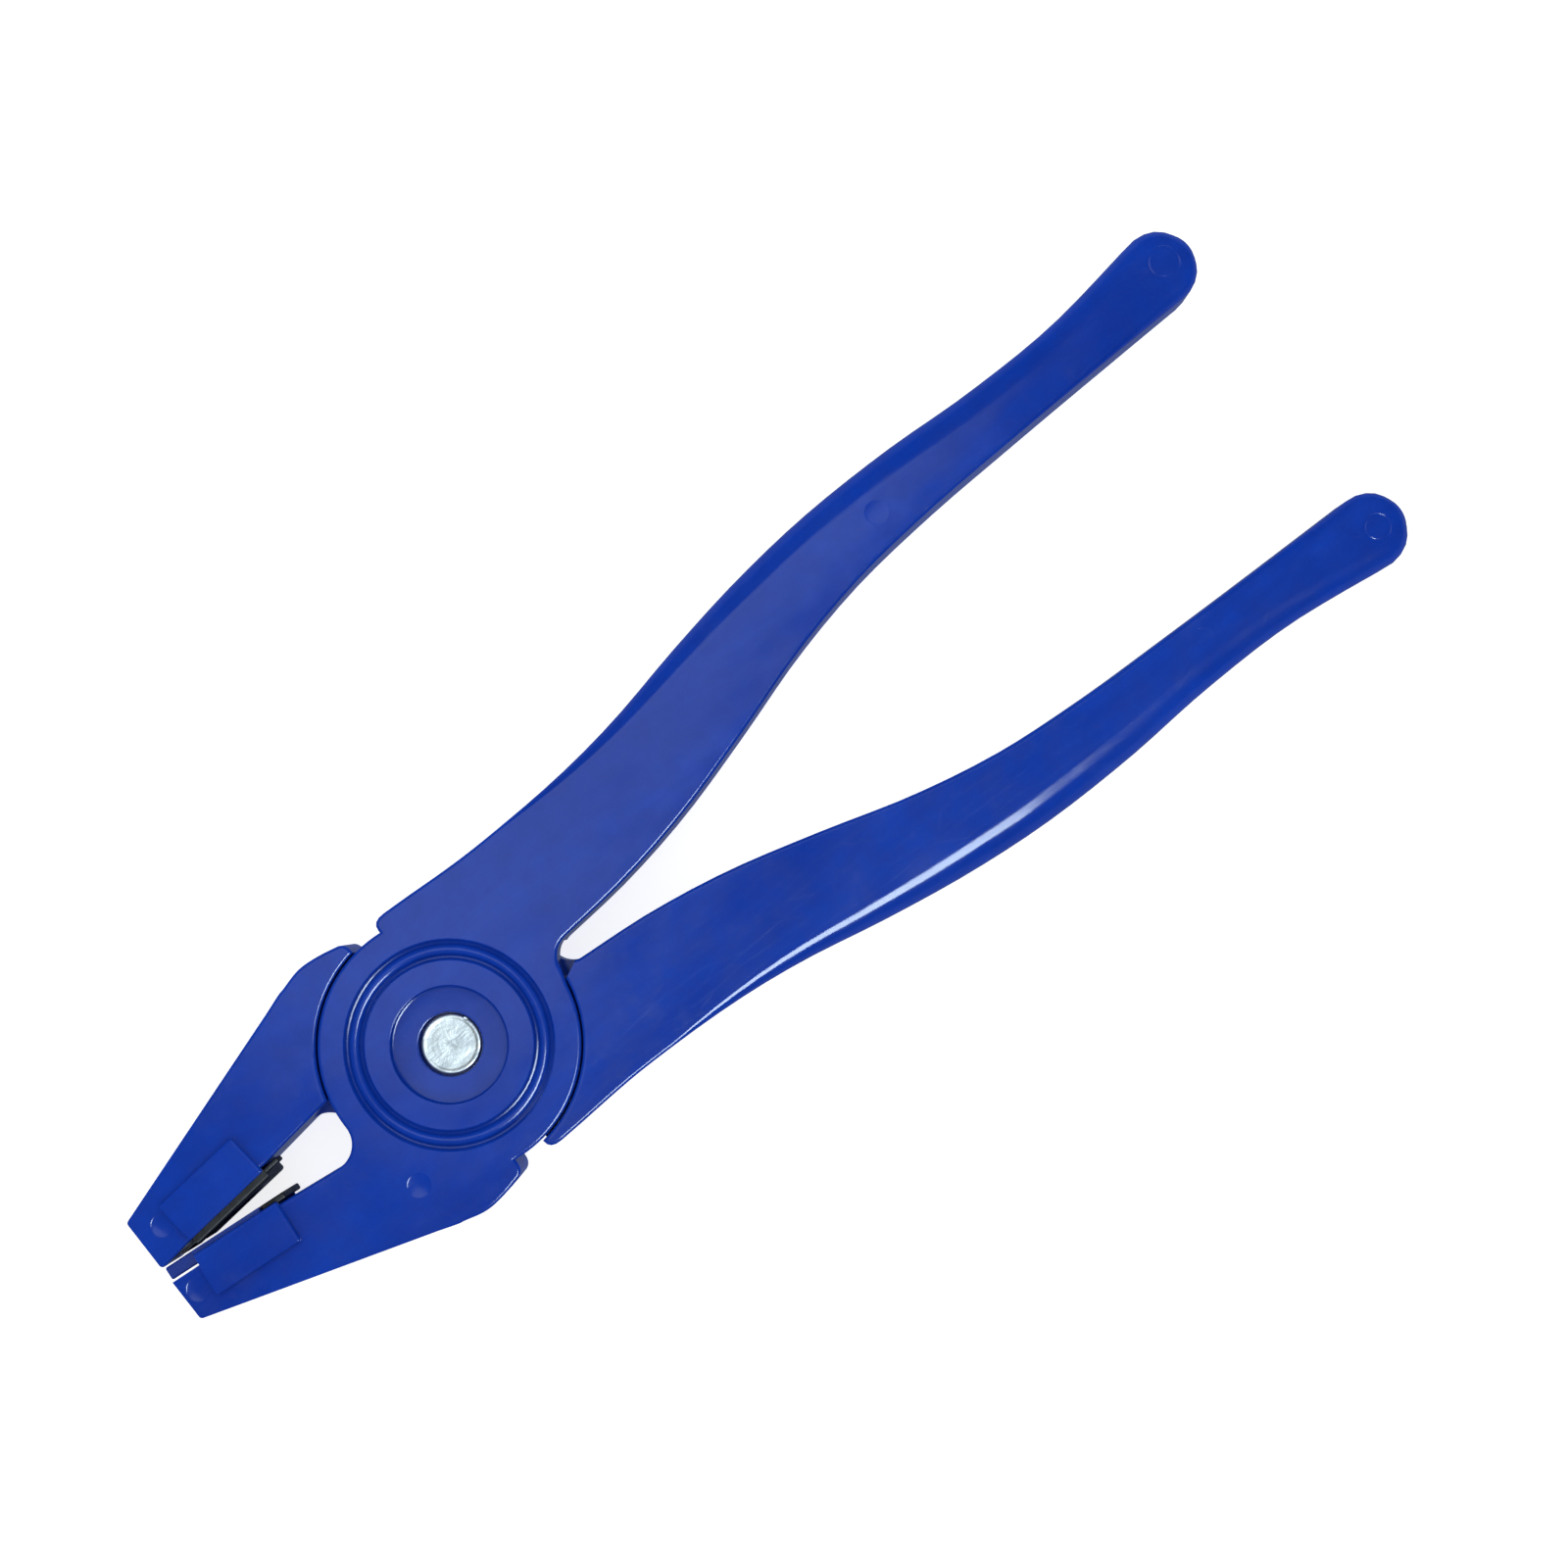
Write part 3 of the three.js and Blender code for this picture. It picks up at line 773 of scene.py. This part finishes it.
dish_profile = [(0.0, dish_floor), (3.9, dish_floor), (4.2, pad_proud - 0.32), (4.4, pad_proud - 0.12),
                (4.52, pad_proud - 0.02), (4.75, pad_proud + 0.05), (4.75, pad_proud + clear),
                (0.0, pad_proud + clear)]
dish = spun("pad_dish", dish_profile, 64)
along_face(dish)
join_solid(anvil_pad, dish)
on_face(anvil_pad, rear_inset, over=True)


# Moulded rubber: near black, with a cool blue cast that is painted reflection of the blue plastic around it,
# a fine matt grain, fine specks of dust and a few paler worn spots.
def rubber(name, dark, pale, gloss):
    made, tree, shader = new_material(name)
    even = place_nodes(tree, (1.0, 1.0, 1.0))
    worn = spread(tree, cloud(tree, even, 420.0, 5.0, 0.65), 0.45, 0.72)
    colour = blend_colour(tree, worn, dark, pale)
    dust = spread(tree, cloud(tree, even, 3200.0, 2.0), 0.62, 0.78)
    colour = blend_colour(tree, combine(tree, "MULTIPLY", dust, 0.22), colour, (0.06, 0.065, 0.08))
    tree.links.new(colour, shader.inputs["Base Color"])
    tree.links.new(spread(tree, worn, 0.0, 1.0, gloss, gloss + 0.16), shader.inputs["Roughness"])
    normal = relief_bump(tree, cloud(tree, even, 900.0, 3.0), 0.00003)
    normal = relief_bump(tree, cloud(tree, even, 5200.0, 2.0), 0.000012, 0.8, normal)
    tree.links.new(normal, shader.inputs["Normal"])
    return made


# The blue in these two colours is painted reflection on otherwise near-black rubber.
pad_black = rubber("pad_black", (0.0022, 0.0032, 0.012), (0.0075, 0.010, 0.026), 0.42)
settle(anvil_pad, pad_black, "rear", ["anvil_pad"])

# ------------------------------------------------------------------ The ring holder
# A moulded plastic insert in the front jaw that takes the snap's prong ring: a round seat about a
# low post, and a tongue that lies in the notch at the jaw's tip. Duller than the levers.

keeper_length, keeper_overhang = 2.6, 1.4
holder_rear = block_length / 2 - keeper_length - fit_gap
ring_holder = brick("ring_holder_moulding", (-block_length / 2, fit_gap - tray_depth, -pad_width / 2),
                    (holder_rear, holder_proud, pad_width / 2))
soften(ring_holder, 0.2, 3)
tongue = brick("tongue",
               (-block_length / 2 - tongue_length, holder_proud - tongue_thickness, -tongue_width / 2),
               (-block_length / 2, holder_proud, tongue_width / 2))
soften(tongue, 0.3, 4)
join_solid(ring_holder, tongue, "UNION")
join_solid(ring_holder, stem("holder_stem", 0.05), "UNION")
post_radius, seat_radius = 2.2, holder_rear - 0.5
seat_floor = holder_proud - 0.5
ring_seat_profile = [
    (post_radius, holder_proud + clear), (post_radius, holder_proud - 0.1),
    (post_radius + 0.1, holder_proud - 0.4), (post_radius + 0.3, seat_floor),
    (seat_radius - 0.25, seat_floor), (seat_radius - 0.06, holder_proud - 0.42),
    (seat_radius, holder_proud - 0.2), (seat_radius + 0.08, holder_proud - 0.04),
    (seat_radius + 0.25, holder_proud + 0.03), (seat_radius + 0.3, holder_proud + clear),
]
seat = spun("ring_seat", ring_seat_profile, 64)
along_face(seat)
join_solid(ring_holder, seat)
on_face(ring_holder, front_inset)
holder_blue = blue_plastic("holder_blue", (0.0042, 0.031, 0.29), (0.0075, 0.044, 0.36), 0.24)
settle(ring_holder, holder_blue, "front", ["ring_holder"])

# ------------------------------------------------------------------ The rubber keeper
# A small block of black moulded rubber, pressed into the root end of the front jaw's tray. It
# stands behind the ring holder and stops it from sliding out.

keeper = brick("keeper_rubber", (block_length / 2 - keeper_length, fit_gap - tray_depth, -pad_width / 2),
               (block_length / 2 + keeper_overhang, holder_proud, pad_width / 2))
soften(keeper, 0.28, 4)
bpy.ops.object.mode_set(mode="EDIT")
bpy.ops.mesh.select_all(action="SELECT")
bpy.ops.mesh.bisect(plane_co=(0.0, 0.0, 0.0), plane_no=(0.0, 0.0, 1.0))
bpy.ops.object.mode_set(mode="OBJECT")
on_face(keeper, front_inset)
settle(keeper, pad_black, "front", ["rubber_keeper"])

# ------------------------------------------------------------------ The pivot rivet
# A soft aluminium rivet. Its flat factory head, scuffed by the setting tool, sits in the front disc's
# recess, and its shank is peened over a washer on the far side.

shank_radius = 2.9
peened_end = [(0.0, -8.05), (0.9, -8.03), (1.8, -7.96), (2.6, -7.84), (3.15, -7.68), (3.5, -7.48),
              (3.66, -7.26), (3.7, -7.02), (3.68, -6.78), (3.6, -6.6)]
head = [(4.3, -1.42), (4.4, -1.34), (4.4, -0.24), (4.36, -0.12), (4.27, -0.04), (4.15, -0.005),
        (4.02, 0.0), (3.86, -0.02), (3.72, -0.07), (3.4, -0.085), (2.6, -0.07), (1.7, -0.05),
        (0.9, -0.06), (0.0, -0.07)]
shank = [(shank_radius, peened_end[-1][1]), (shank_radius, head[0][1])]
nick_turn = math.radians(22.0)
rivet = spun("pivot_rivet_metal", [(r, z + head_face) for r, z in peened_end + shank + head], 96)
bpy.ops.object.mode_set(mode="EDIT")
mark(rivet, "FACE", lambda f: f.normal.z > 0.9 and f.calc_center_median().z > head_face - 0.2)
bpy.ops.mesh.subdivide(number_cuts=1)
bpy.ops.transform.vertex_random(offset=0.012, normal=1.0, seed=3)
mark(rivet, "FACE", lambda f: f.normal.z < -0.75 and f.calc_center_median().z < head_face - 7.3)
bpy.ops.transform.vertex_random(offset=0.05, normal=1.0, seed=8)
bpy.ops.object.mode_set(mode="OBJECT")
join_solid(rivet, brick("rim_nick", (4.02, -0.32, head_face - 0.5), (4.8, 0.32, head_face + 0.3),
                        Matrix.Rotation(nick_turn, 4, "Z")))


def worn_metal(name, dark, light, gloss, ring_scale):
    """Bare metal with turned rings, a smeared streak that is partly a burnished scuff and partly a painted
    highlight, small dents and dull patches.
    """
    made, tree, shader = new_material(name)
    even = place_nodes(tree, (1.0, 1.0, 1.0))
    smear = place_nodes(tree, (160.0, 620.0, 300.0), 1.35)
    burnish_and_highlight = spread(tree, cloud(tree, smear, 1.0, 5.0, 0.65, 0.6), 0.42, 0.66)
    patch = spread(tree, cloud(tree, even, 520.0, 6.0, 0.7, 0.5), 0.36, 0.68)
    rings = tree.nodes.new("ShaderNodeTexWave")
    rings.wave_type = "RINGS"
    rings.rings_direction = "Z"
    rings.inputs["Scale"].default_value = ring_scale
    rings.inputs["Distortion"].default_value = 1.5
    rings.inputs["Detail"].default_value = 3.0
    tree.links.new(even, rings.inputs["Vector"])
    colour = blend_colour(tree, patch, dark, light)
    # Painted highlight: the streak lifts the colour to near white, on top of its real burnish in roughness
    # and bump.
    colour = blend_colour(tree, combine(tree, "MULTIPLY", burnish_and_highlight, 0.75), colour, (0.95, 0.97, 0.99))
    tree.links.new(colour, shader.inputs["Base Color"])
    rough = spread(tree, patch, 0.0, 1.0, gloss + 0.16, gloss)
    rough = combine(tree, "SUBTRACT", rough, combine(tree, "MULTIPLY", burnish_and_highlight, 0.08))
    tree.links.new(rough, shader.inputs["Roughness"])
    shader.inputs["Metallic"].default_value = 0.85
    normal = relief_bump(tree, rings.outputs["Fac"], 0.000008, 0.6)
    normal = relief_bump(tree, cloud(tree, even, 700.0, 5.0, 0.65), 0.00006, 0.8, normal)
    normal = relief_bump(tree, burnish_and_highlight, 0.00002, 0.7, normal)
    tree.links.new(normal, shader.inputs["Normal"])
    return made


# The rivet's bright smeared streak is partly a burnished scuff and partly a painted highlight.
rivet_aluminium = worn_metal("rivet_aluminium", (0.50, 0.53, 0.56), (0.66, 0.70, 0.73), 0.42, 420.0)
settle(rivet, rivet_aluminium, "rear", ["pivot_rivet"])

# ------------------------------------------------------------------ The washer
# A punched and zinc-plated steel washer that lies under the rivet's peened end and keeps it off the
# plastic. One side is rounded by the punch, the other has a slight burr.

washer_profile = [(3.05, -6.5), (4.0, -6.5), (4.16, -6.46), (4.24, -6.36), (4.25, -6.2), (4.25, -5.86),
                  (4.22, -5.8), (3.12, -5.8), (3.05, -5.88)]
washer = spun("pivot_washer_steel", [(r, z + head_face) for r, z in washer_profile], 96)
washer_zinc = worn_metal("washer_zinc", (0.34, 0.36, 0.38), (0.62, 0.64, 0.66), 0.32, 300.0)
settle(washer, washer_zinc, "rear", ["pivot_washer"])
